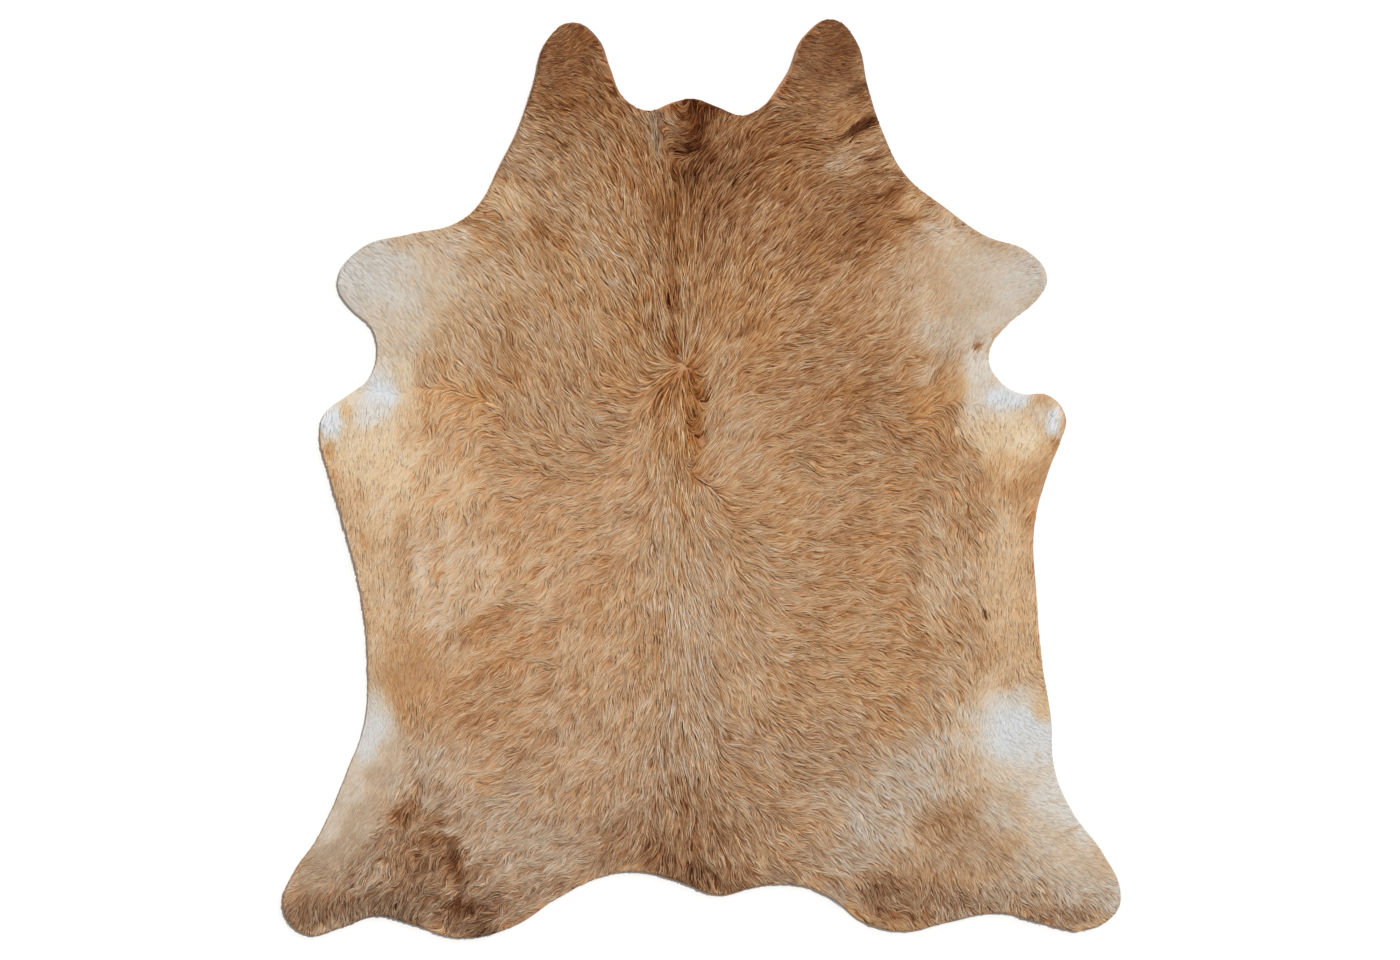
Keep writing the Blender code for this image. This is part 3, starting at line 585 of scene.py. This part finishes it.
def coat_tone(x, y, fluff):
    """Tone and warmth of the coat at each point; patches in short hair have softer edges."""
    tone = np.full(len(x), BODY_TONE)
    warmth = np.full(len(x), BODY_WARMTH)
    ragged = uneven("marking edges", x, y) * with_sleek(SLEEK_RAGGED, fluff)
    for *patch, own_tone, own_warmth, strength, turn in listed(places(MARKINGS), MARKING_UNITS):
        share = patch_weight(x, y, patch, turn, ragged) * strength
        tone = tone * (1.0 - share) + own_tone * share
        warmth = warmth * (1.0 - share) + own_warmth * share
    plain = np.clip((EVEN_ABOVE - tone) / EVEN_FADE, EVENEST, 1.0)
    return tone + uneven("tone", x, y) * plain, warmth + uneven("warmth", x, y) * plain


class HideShape:
    """Height of the coat and distance from the cut edge, kept on an even grid over the hide."""

    def __init__(self, node):
        mesh = node.data
        self.low = np.array([HIDE_LOW[0], HIDE_LOW[1]]) - MAP_MARGIN
        self.count_x = int((HIDE_WIDTH + 2 * MAP_MARGIN) / MAP_STEP) + 2
        self.count_y = int((HIDE_LENGTH + 2 * MAP_MARGIN) / MAP_STEP) + 2
        xs = self.low[0] + np.arange(self.count_x) * MAP_STEP
        ys = self.low[1] + np.arange(self.count_y) * MAP_STEP
        surface = BVHTree.FromPolygons([v.co for v in mesh.vertices], [p.vertices for p in mesh.polygons])
        down = Vector((0.0, 0.0, -1.0))
        self.top = np.full((self.count_y, self.count_x), np.nan)
        for j, y in enumerate(ys):
            for i, x in enumerate(xs):
                hit = surface.ray_cast(Vector((x, y, RAY_START)), down, RAY_REACH)
                if hit[0] is not None:
                    self.top[j, i] = hit[0].z
        covered = ~np.isnan(self.top)
        self.edge = edge_distance(mesh, xs, ys, covered)
        self.inward_y, self.inward_x = np.gradient(self.edge, MAP_STEP)
        self.top = np.where(covered, self.top, SKIN_THICK)

    def sample(self, grid, x, y):
        """Values of one map at each point."""
        u = np.clip((x - self.low[0]) / MAP_STEP, 0, self.count_x - 1.001)
        v = np.clip((y - self.low[1]) / MAP_STEP, 0, self.count_y - 1.001)
        i, j = u.astype(int), v.astype(int)
        return between(grid, i, j, u - i, v - j)

    def top_height(self, x, y):
        return self.sample(self.top, x, y)

    def edge_at(self, x, y):
        return self.sample(self.edge, x, y)

    def trimmed(self, points):
        """Points beyond the cut edge are brought back to it."""
        x, y = points[:, 0], points[:, 1]
        beyond = np.maximum(-EDGE_OVERHANG - self.edge_at(x, y), 0.0)
        back_x, back_y = self.sample(self.inward_x, x, y), self.sample(self.inward_y, x, y)
        return points + beyond[:, None] * np.column_stack([back_x, back_y])

    def skin_height(self, x, y):
        """Top of the skin and its close under-fur."""
        return np.maximum(SKIN_THICK + UNDER_FUR * (self.top_height(x, y) - SKIN_THICK), EDGE_FUR)


def edge_distance(mesh, xs, ys, covered):
    """Distance from the cut edge, positive on the hide."""
    points = [a.lerp(b, k / RIM_PARTS) for a, b in rim_edges(mesh) for k in range(RIM_PARTS)]
    tree = KDTree(len(points))
    for index, point in enumerate(points):
        tree.insert((point.x, point.y, 0.0), index)
    tree.balance()
    far = np.array([[tree.find((x, y, 0.0))[2] for x in xs] for y in ys])
    return np.where(covered, far, -far)


def rim_edges(mesh):
    """Edges of the flat underside that lie on the cut edge, as pairs of points."""
    flat = {}
    for face in mesh.polygons:
        if face.normal.z < FLAT_UNDERSIDE:
            for key in face.edge_keys:
                flat[key] = flat.get(key, 0) + 1
    return [(mesh.vertices[a].co, mesh.vertices[b].co) for (a, b), uses in flat.items() if uses == 1]


def scatter_roots(shape, count, seed):
    """Roots spread evenly over the hide, with more of them where the hair is short."""
    rng = np.random.default_rng(seed)
    step = math.sqrt(HIDE_AREA / (count * TRIAL_ROOTS))
    xs = np.arange(HIDE_LOW[0], HIDE_HIGH[0], step)
    ys = np.arange(HIDE_LOW[1], HIDE_HIGH[1], step)
    gx, gy = np.meshgrid(xs, ys)
    x = (gx + rng.uniform(-0.5, 0.5, gx.shape) * step).ravel()
    y = (gy + rng.uniform(-0.5, 0.5, gy.shape) * step).ravel()
    on = shape.edge_at(x, y) > ROOT_INSET
    x, y = x[on], y[on]
    wanted = np.clip(THIN_LENGTH / growth(x, y)[:, 0], THINNEST, THICKEST)
    order = np.argsort(rng.uniform(0.0, 1.0, len(x)) / wanted)[:count]
    return x[order], y[order]


def lock_paths(shape, x, y, length, wave, seed):
    """The line that each lock follows over the hide, and the direction across it."""
    rng = np.random.default_rng(seed)
    own = rng.normal(0.0, OWN_TURN, len(x)) + wave * rng.normal(0.0, WAVE_TURN, len(x))
    bend = wave * rng.normal(0.0, WAVE_BEND, len(x))
    step = length / PATH_STEPS
    path = np.empty((PATH_STEPS + 1, len(x), 2))
    across = np.empty_like(path)
    here = np.column_stack([x, y])
    start = here - lie_heading(x, y) * (length * rng.uniform(0.0, ROOT_SET_BACK, len(x)))[:, None]
    inside = shape.edge_at(start[:, 0], start[:, 1]) > ROOT_INSET
    here = np.where(inside[:, None], start, here)
    for k in range(PATH_STEPS + 1):
        hx, hy = here[:, 0], here[:, 1]
        lie = lie_heading(hx, hy)
        turn = np.radians(own + wave * uneven("sway", hx, hy) + bend * (k / PATH_STEPS - BEND_START))
        c, s = np.cos(turn), np.sin(turn)
        ahead = np.column_stack([lie[:, 0] * c - lie[:, 1] * s, lie[:, 0] * s + lie[:, 1] * c])
        path[k] = here
        across[k] = np.column_stack([-ahead[:, 1], ahead[:, 0]])
        here = here + ahead * step[:, None]
    return path, across


def along_path(values, share):
    """Values on the lock lines at the given share of their length."""
    at = np.clip(share, 0.0, 1.0) * PATH_STEPS
    k = np.minimum(at.astype(int), PATH_STEPS - 1)
    part = (at - k)[:, None]
    index = np.arange(values.shape[1])
    return values[k, index] * (1.0 - part) + values[k + 1, index] * part


def edge_share(shape, path):
    """How much of each lock's line stays on the hide, with its small overhang."""
    keep = np.ones(path.shape[1])
    before = shape.edge_at(path[0, :, 0], path[0, :, 1]) + EDGE_OVERHANG
    for k in range(1, PATH_STEPS + 1):
        after = shape.edge_at(path[k, :, 0], path[k, :, 1]) + EDGE_OVERHANG
        crossing = (k - 1 + before / np.maximum(before - after, 1e-6)) / PATH_STEPS
        keep = np.where((after < 0.0) & (before >= 0.0), np.minimum(keep, crossing), keep)
        before = after
    return np.maximum(keep, LEAST_REACH)


def grow_layer(shape, layer):
    """One layer of the coat as a mesh of tapered strands."""
    name, locks, per_lock, width, length_share, lift_share, tone_shift, warmth_shift, seed = layer
    rng = np.random.default_rng(seed)
    x, y = scatter_roots(shape, locks, seed)
    kinds = growth(x, y)
    hair, wave, lock_width, boldness = kinds.T
    length = hair * length_share * rng.uniform(*LENGTH_SPREAD, len(x))
    path, across = lock_paths(shape, x, y, length, wave, seed + PATH_SEED)
    keep = edge_share(shape, path)
    middle = along_path(path, 0.5 * keep)
    fluff = fluffiness(kinds)
    tone, warmth = coat_tone(middle[:, 0], middle[:, 1], fluff)
    clump = uneven("clumps", x, y)
    plain = np.clip((PLAIN_ABOVE - tone) / PLAIN_FADE, PLAINEST, BOLDEST)
    plain = plain * with_sleek(SLEEK_PLAIN, fluff) * boldness
    cream = PALE_WARMTH * np.clip(CREAM_GAIN * tone - CREAM_START, 0.0, 1.0)
    tone = tone + tone_shift * plain + plain * (CLUMP_TONE * clump + rng.normal(0.0, LOCK_TONE, len(x)))
    warmth = warmth + warmth_shift * plain - plain * CLUMP_WARMTH * clump
    warmth = warmth + rng.normal(0.0, LOCK_WARMTH, len(x))
    lock_lift = boldness * lift_share * np.clip(fluff, SLEEK_LIFT, 1.0)
    lock_lift = lock_lift * rng.uniform(*LOCK_LIFT_SPREAD, len(x))
    slimness = np.clip(hair / FULL_LENGTH, SLIMMEST, 1.0)
    usual = USUAL_SHARE * STRAND_TONE * plain
    rows = []
    for strand in range(per_lock):
        side = (strand + 0.5) / per_lock * 2.0 - 1.0 if per_lock > 1 else 0.0
        side = side + rng.uniform(*SIDE_SPREAD, len(x))
        back = rng.uniform(*ROOT_SPREAD, len(x)) * keep
        reach = np.minimum(back + keep * rng.uniform(*REACH_SPREAD, len(x)), keep)
        lift = lock_lift * (MIDDLE_LIFT - SIDE_DROP * side * side) * rng.uniform(*LIFT_SPREAD, len(x))
        roll = np.radians(-STRAND_ROLL * side + rng.normal(0.0, ROLL_SPREAD, len(x)))
        roll = roll * with_sleek(SLEEK_ROLL, fluff)
        spread = np.clip(rng.normal(0.0, 1.0, len(x)), DARK_LIMIT, PALE_LIMIT)
        shade = tone + plain * STRAND_TONE * spread
        half = 0.5 * width * slimness * rng.uniform(*WIDTH_SPREAD, len(x))
        own_warmth = warmth + cream * (np.maximum(shade - tone, 0.0) - usual)
        own_warmth = own_warmth + DEEP_WARMTH * (np.maximum(tone - shade, 0.0) - usual)
        rows.append(strand_rows(
            shape, path, across, lock_width * side, reach, back, lift, roll, half, shade, own_warmth, fluff
        ))
    corners, chart = (np.concatenate(part) for part in zip(*rows))
    return strand_mesh(name, corners, chart)


def strand_rows(shape, path, across, offset, reach, back, lift, roll, half, shade, warmth, fluff):
    """Corner points of every strand, with their places on the colour chart."""
    count = path.shape[1]
    corners = len(STRAND_SHAPE) * 2 - 1
    rows = np.empty((count, corners, 3))
    chart = np.empty((count, corners, 2))
    band = np.clip(np.round(warmth * (BANDS - 1)), 0, BANDS - 1)
    shade = np.clip(shade, LEAST_TONE, MOST_TONE)
    column = 0
    for _part, station, rise, breadth in STRAND_SHAPE:
        share = back + (reach - back) * station
        middle = along_path(path, share)
        over = along_path(across, share)
        middle = middle + over * (offset * (1.0 - GATHER * station))[:, None]
        skin = shape.skin_height(middle[:, 0], middle[:, 1])
        top = shape.top_height(middle[:, 0], middle[:, 1])
        drop = np.clip(-shape.edge_at(middle[:, 0], middle[:, 1]) / EDGE_OVERHANG, 0.0, 1.0)
        thick = np.maximum(top - skin + COAT_CLEAR * 2.0, EDGE_COAT)
        height = skin + thick * lift * rise + COAT_CLEAR
        height = np.maximum(height * (1.0 - EDGE_DROOP * drop), LOWEST_HAIR)
        level = (np.cos(roll) * half)[:, None] * over
        lean = np.sin(roll) * half
        tipward = station + (1.0 - station) * SLEEK_TIPWARD * (1.0 - fluff)
        along = BAND_EDGE + (1.0 - 2.0 * BAND_EDGE) * tipward
        for sign in ((1.0, -1.0) if breadth > 0.0 else (0.0,)):
            rows[:, column, :2] = shape.trimmed(middle + level * sign * breadth)
            rows[:, column, 2] = height + lean * sign * breadth
            chart[:, column, 0] = shade + sign * STREAK_SPAN
            chart[:, column, 1] = (band + along) / BANDS
            column += 1
    return rows, chart


def strand_mesh(name, rows, chart):
    """Puts strands side by side into one mesh, each a row of long faces and a tip."""
    count, corners = rows.shape[:2]
    faces = []
    for k in range(0, corners - 3, 2):
        faces += [(k + 1, k, k + 2), (k + 1, k + 2, k + 3)]
    faces.append((corners - 2, corners - 3, corners - 1))
    pattern = np.array(faces, dtype=np.int32).ravel()
    loops = (np.arange(count, dtype=np.int32)[:, None] * corners + pattern[None, :]).ravel()
    data = bpy.data.meshes.new(name)
    data.vertices.add(count * corners)
    data.vertices.foreach_set("co", rows.reshape(-1).astype(np.float32))
    data.loops.add(len(loops))
    data.loops.foreach_set("vertex_index", loops)
    data.polygons.add(count * len(faces))
    starts = np.arange(count * len(faces), dtype=np.int32) * 3
    data.polygons.foreach_set("loop_start", starts)
    data.update(calc_edges=True)
    data.polygons.foreach_set("use_smooth", np.ones(count * len(faces), dtype=bool))
    layer = data.uv_layers.new(name="OFBake")
    layer.data.foreach_set("uv", chart.reshape(-1, 2)[loops].reshape(-1).astype(np.float32))
    data.validate()
    return in_scene(name, data)


def in_scene(name, data):
    """A new object in the scene, made from a mesh, a light or a camera."""
    thing = bpy.data.objects.new(name, data)
    bpy.context.scene.collection.objects.link(thing)
    return thing


def make_pelt(shape, node):
    """The tanned skin: a thin closed sheet with the hide's outline."""
    mesh = bmesh.new()
    mesh.from_mesh(node.data)
    bmesh.ops.subdivide_edges(mesh, edges=mesh.edges, cuts=1, use_grid_fill=True)
    for vert in mesh.verts:
        if vert.co.z > UNDERSIDE_TOP:
            vert.co.z = float(shape.skin_height(np.array([vert.co.x]), np.array([vert.co.y]))[0])
    mesh.normal_update()
    data = bpy.data.meshes.new("pelt")
    for face in mesh.faces:
        face.smooth = True
        face.material_index = 0 if face.normal.z > FLESH_SIDE else 1
    mesh.to_mesh(data)
    mesh.free()
    points = np.array([v.co[:2] for v in data.vertices])
    fluff = fluffiness(growth(points[:, 0], points[:, 1]))
    tone, warmth = coat_tone(points[:, 0], points[:, 1], fluff)
    # the along attribute holds the skin's painted shade: darker where the hair is long
    for label, values in (("tone", tone), ("warmth", warmth), ("along", 1.0 - SKIN_SHADE * fluff)):
        layer = data.attributes.new(label, "FLOAT", "POINT")
        layer.data.foreach_set("value", values.astype(np.float32))
    return in_scene("pelt", data)


# Colours of hair by tone
# tone, red, green, blue
WARM_COAT = (
    (0.00, 0.018, 0.006, 0.002),
    (0.15, 0.074, 0.018, 0.005),
    (0.30, 0.164, 0.054, 0.014),
    (0.45, 0.280, 0.117, 0.037),
    (0.60, 0.416, 0.206, 0.074),
    (0.72, 0.512, 0.299, 0.130),
    (0.85, 0.584, 0.426, 0.246),
    (1.00, 0.686, 0.633, 0.598),
)
GREY_COAT = (
    (0.00, 0.018, 0.009, 0.004),
    (0.15, 0.064, 0.033, 0.018),
    (0.30, 0.144, 0.080, 0.046),
    (0.45, 0.238, 0.156, 0.102),
    (0.60, 0.340, 0.252, 0.180),
    (0.72, 0.436, 0.356, 0.280),
    (0.85, 0.480, 0.472, 0.472),
    (1.00, 0.560, 0.600, 0.670),
)
# place along the hair from the root, red, green, blue. Darker and warmer towards the root, a little lighter
# at the tip: partly the hair's own darker roots and paler tips, partly painted shade and painted warm bounced
# light deep in the coat
HAIR_DEPTH_SHADE = (
    (0.00, 0.88, 0.67, 0.49),
    (0.30, 0.93, 0.83, 0.74),
    (0.60, 0.95, 0.95, 0.92),
    (1.00, 1.00, 1.05, 1.06),
)
# brightness of the suede, red, green, blue
SUEDE_CLOUD = ((0.30, 0.50, 0.40, 0.29), (0.50, 0.60, 0.50, 0.38), (0.72, 0.68, 0.59, 0.47))
SUEDE_NAP = ((0.25, 0.82, 0.80, 0.78), (0.75, 1.0, 1.0, 1.0))


def new_group(name, inputs, outputs):
    """An empty shader node group with named inputs and outputs."""
    group = bpy.data.node_groups.new(name, "ShaderNodeTree")
    for label, value in inputs:
        group.interface.new_socket(label, in_out="INPUT", socket_type="NodeSocketFloat").default_value = value
    for label, kind in outputs:
        group.interface.new_socket(label, in_out="OUTPUT", socket_type=kind)
    return group, group.nodes.new("NodeGroupInput").outputs, group.nodes.new("NodeGroupOutput").inputs


def feed(tree, socket, value):
    """Gives a socket a plain value or another node's output."""
    if isinstance(value, bpy.types.NodeSocket):
        tree.links.new(value, socket)
    else:
        socket.default_value = value


def add_node(tree, kind, **inputs):
    """A node with its inputs fed by name, with a low line for each space."""
    node = tree.nodes.new("ShaderNode" + kind)
    for label, value in inputs.items():
        feed(tree, node.inputs[label.replace("_", " ")], value)
    return node


def math_node(tree, operation, a, b=None):
    node = tree.nodes.new("ShaderNodeMath")
    node.operation = operation
    for socket, value in zip(node.inputs, (a, b)):
        if value is not None:
            feed(tree, socket, value)
    return node.outputs[0]


def ramp_node(tree, factor, stops):
    """A colour ramp through stops of (place, red, green, blue)."""
    node = add_node(tree, "ValToRGB", Fac=factor)
    ramp = node.color_ramp
    while len(ramp.elements) > 1:
        ramp.elements.remove(ramp.elements[-1])
    for index, (place, *colour) in enumerate(stops):
        stop = ramp.elements[0] if index == 0 else ramp.elements.new(place)
        stop.position = place
        stop.color = (*colour, 1.0)
    return node.outputs["Color"]


def mix_colour(tree, factor, a, b, blend="MIX"):
    node = tree.nodes.new("ShaderNodeMix")
    node.data_type = "RGBA"
    node.blend_type = blend
    for key, kind, value in (("Factor", "VALUE", factor), ("A", "RGBA", a), ("B", "RGBA", b)):
        feed(tree, next(s for s in node.inputs if s.name == key and s.type == kind), value)
    return next(s for s in node.outputs if s.type == "RGBA")


def coat_colour_group():
    """Colour of a cow's hair from its tone, its warmth and the place along the hair, with painted shade
    towards the root.
    """
    group, given, result = new_group(
        "coat_colour",
        (("Tone", 0.5), ("Warmth", 0.5), ("Along", 1.0)),
        (("Colour", "NodeSocketColor"),),
    )
    warm = ramp_node(group, given["Tone"], WARM_COAT)
    grey = ramp_node(group, given["Tone"], GREY_COAT)
    hair = mix_colour(group, given["Warmth"], grey, warm)
    # darker and warmer towards the root: partly the hair's own colour, partly painted shade deep in the coat
    depth_shade = ramp_node(group, given["Along"], HAIR_DEPTH_SHADE)
    feed(group, result["Colour"], mix_colour(group, 1.0, hair, depth_shade, "MULTIPLY"))
    return group


def streak_group():
    """Fine lines along a strand, so that one strand reads as several hairs."""
    group, given, result = new_group(
        "hair_streaks", (("Across", 0.0), ("Along", 0.0)), (("Line", "NodeSocketFloat"),)
    )
    across = math_node(group, "MULTIPLY", given["Across"], STREAKS_ACROSS)
    along = math_node(group, "MULTIPLY", given["Along"], STREAKS_ALONG)
    place = add_node(group, "CombineXYZ", X=across, Y=along)
    noise = add_node(group, "TexNoise", Scale=1.0, Detail=1.0, Vector=place.outputs[0])
    feed(group, result["Line"], noise.outputs["Fac"])
    return group


def new_material(name, **values):
    """A material, and its shader with plain values set on the shader's own sockets."""
    material = bpy.data.materials.new(name)
    material.use_nodes = True
    tree = material.node_tree
    shader = tree.nodes["Principled BSDF"]
    for label, value in values.items():
        shader.inputs[label.replace("_", " ")].default_value = value
    return material, tree, shader


def group_node(tree, group, **inputs):
    node = tree.nodes.new("ShaderNodeGroup")
    node.node_tree = group
    for label, value in inputs.items():
        feed(tree, node.inputs[label], value)
    return node.outputs[0]


def add_bump(tree, shader, height, strength, distance):
    bump = add_node(tree, "Bump", Strength=strength, Distance=distance, Height=height)
    feed(tree, shader.inputs["Normal"], bump.outputs["Normal"])


def hair_material(name, colours, streaks, rough):
    """Hair that reads its tone, warmth and place along the strand from the colour chart."""
    material, tree, shader = new_material(name, Roughness=rough, Specular_IOR_Level=0.03)
    chart = tree.nodes.new("ShaderNodeUVMap")
    chart.uv_map = "OFBake"
    split = add_node(tree, "SeparateXYZ", Vector=chart.outputs["UV"])
    tone = split.outputs["X"]
    bands = math_node(tree, "MULTIPLY", split.outputs["Y"], float(BANDS))
    warmth = math_node(tree, "DIVIDE", math_node(tree, "FLOOR", bands), float(BANDS - 1))
    inner = math_node(tree, "SUBTRACT", math_node(tree, "FRACT", bands), BAND_EDGE)
    along = math_node(tree, "DIVIDE", inner, 1.0 - 2.0 * BAND_EDGE)
    line = group_node(tree, streaks, Across=tone, Along=along)
    swing = math_node(tree, "MULTIPLY", math_node(tree, "SUBTRACT", line, 0.5), STREAK_TONE)
    swing = math_node(tree, "MULTIPLY", swing, math_node(tree, "SUBTRACT", 1.0, tone))
    streaked = math_node(tree, "ADD", tone, swing)
    # the place along the strand also sets the painted shade towards its root
    colour = group_node(tree, colours, Tone=streaked, Warmth=warmth, Along=along)
    feed(tree, shader.inputs["Base Color"], colour)
    add_bump(tree, shader, line, strength=0.25, distance=0.0006)
    return material


def skin_material(colours):
    """Skin under the hair, in the coat's own markings, darkened as it lies in shade."""
    material, tree, shader = new_material("skin_under_the_hair", Roughness=0.8)
    readings = {}
    for label in ("tone", "warmth", "along"):
        reader = tree.nodes.new("ShaderNodeAttribute")
        reader.attribute_name = label
        readings[label.capitalize()] = reader.outputs["Fac"]
    feed(tree, shader.inputs["Base Color"], group_node(tree, colours, **readings))
    return material


def suede_material():
    """The buffed flesh side."""
    material, tree, shader = new_material("suede_flesh_side", Roughness=0.92, Sheen_Weight=0.25)
    place = tree.nodes.new("ShaderNodeTexCoord").outputs["Object"]
    cloud = add_node(tree, "TexNoise", Scale=4.0, Detail=6.0, Vector=place).outputs["Fac"]
    nap = add_node(tree, "TexNoise", Scale=420.0, Detail=3.0, Vector=place).outputs["Fac"]
    base, fine = ramp_node(tree, cloud, SUEDE_CLOUD), ramp_node(tree, nap, SUEDE_NAP)
    feed(tree, shader.inputs["Base Color"], mix_colour(tree, 1.0, base, fine, "MULTIPLY"))
    add_bump(tree, shader, nap, strength=0.4, distance=0.0004)
    return material


# Floor, light and camera
PHOTO_SCALE = 0.0024  # metres to a pixel of the photo, at the coat
PHOTO_CENTRE = (700.0, 480.0)
HIDE_CENTRE_IN_PHOTO = (701.9, 478.5)
PHOTO_WIDTH = 1400
COAT_LEVEL = 0.006
LENS = 85.0
SENSOR = 36.0
FLOOR_SIZE = 30.0
FLOOR_DROP = 0.0003
FLOOR_GREY = (0.70, 0.70, 0.70, 1.0)
# light, strength, height and bearing in degrees, softness in degrees
LIGHTS = (
    ("key", 4.10, 50.0, 42.0, 7.0),
    ("low_key", 0.70, 25.0, 45.0, 14.0),
)
FILL_COLOUR = (1.0, 0.94, 0.88, 1.0)
FILL_STRENGTH = 0.42


def make_floor():
    bpy.ops.mesh.primitive_plane_add(size=FLOOR_SIZE, location=(0.0, 0.0, -FLOOR_DROP))
    floor = bpy.context.object
    floor.name = "floor"
    material = new_material("pale_floor", Base_Color=FLOOR_GREY, Roughness=0.9, Specular_IOR_Level=0.1)[0]
    floor.data.materials.append(material)


def make_lights():
    for name, strength, height, bearing, softness in LIGHTS:
        data = bpy.data.lights.new(name, "SUN")
        data.energy = strength
        data.angle = math.radians(softness)
        height, bearing = math.radians(height), math.radians(bearing)
        level = math.cos(height)
        source = Vector((level * math.cos(bearing), level * math.sin(bearing), math.sin(height)))
        in_scene(name, data).rotation_euler = source.to_track_quat("Z", "Y").to_euler()
    world = bpy.data.worlds.new("studio")
    bpy.context.scene.world = world
    world.use_nodes = True
    shade = world.node_tree.nodes["Background"]
    shade.inputs["Color"].default_value = FILL_COLOUR
    shade.inputs["Strength"].default_value = FILL_STRENGTH


def make_camera():
    data = bpy.data.cameras.new("camera")
    data.lens = LENS
    data.sensor_width = SENSOR
    data.clip_end = 100.0
    camera = in_scene("camera", data)
    camera.location = (
        (PHOTO_CENTRE[0] - HIDE_CENTRE_IN_PHOTO[0]) * PHOTO_SCALE,
        (HIDE_CENTRE_IN_PHOTO[1] - PHOTO_CENTRE[1]) * PHOTO_SCALE,
        PHOTO_WIDTH * PHOTO_SCALE * LENS / SENSOR + COAT_LEVEL,
    )
    bpy.context.scene.camera = camera


def build():
    make_camera()
    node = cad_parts["hide"]
    shape = HideShape(node)
    colours = coat_colour_group()
    streaks = streak_group()
    pelt = make_pelt(shape, node)
    pelt.data.materials.append(skin_material(colours))
    pelt.data.materials.append(suede_material())
    under = hair_material("under_hair", colours, streaks, rough=0.62)
    top = hair_material("top_hair", colours, streaks, rough=0.55)
    for layer in COAT_LAYERS:
        piece = grow_layer(shape, layer)
        piece.data.materials.append(under if layer[0] == "under_coat" else top)
        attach(piece, "root")
    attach(pelt, "root")
    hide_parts("hide")
    make_floor()
    make_lights()
    bpy.context.scene.view_settings.view_transform = "Standard"


build()
